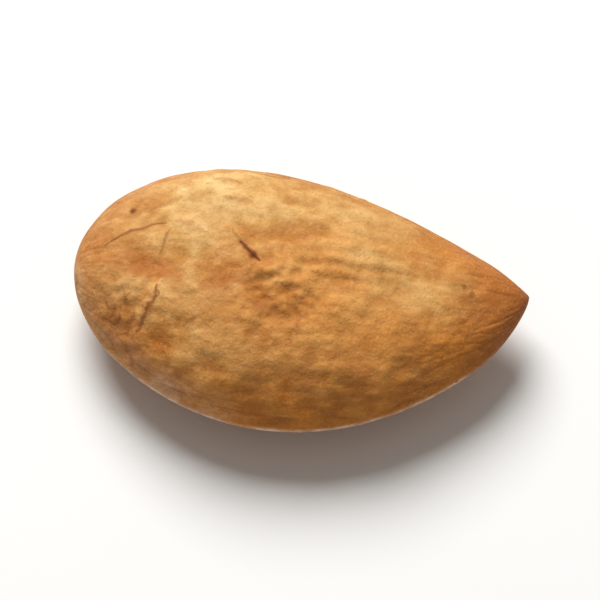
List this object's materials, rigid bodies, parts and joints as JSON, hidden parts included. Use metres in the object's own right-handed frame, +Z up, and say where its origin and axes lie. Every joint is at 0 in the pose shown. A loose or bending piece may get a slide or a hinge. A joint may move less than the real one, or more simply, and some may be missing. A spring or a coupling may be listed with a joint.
{
  "type": "almond",
  "caption": "Shelled almond kernel in its ribbed brown skin: a flattened drop shape with a round base and a pointed tip, resting on its broad side.",
  "frame": {"origin": "on the surface that the kernel rests on, under the middle of its bounding box", "axes": "+X from the round base to the pointed tip, +Z up through the thickness, -Y towards the side that the kernel bows out to"},
  "size_m": [0.024, 0.0146, 0.0074],
  "materials": {
    "brown_skin": "dry, matt, finely ribbed nut skin"
  },
  "bodies": {
    "root": {"almond_kernel": "brown_skin"}
  },
  "joints": []
}
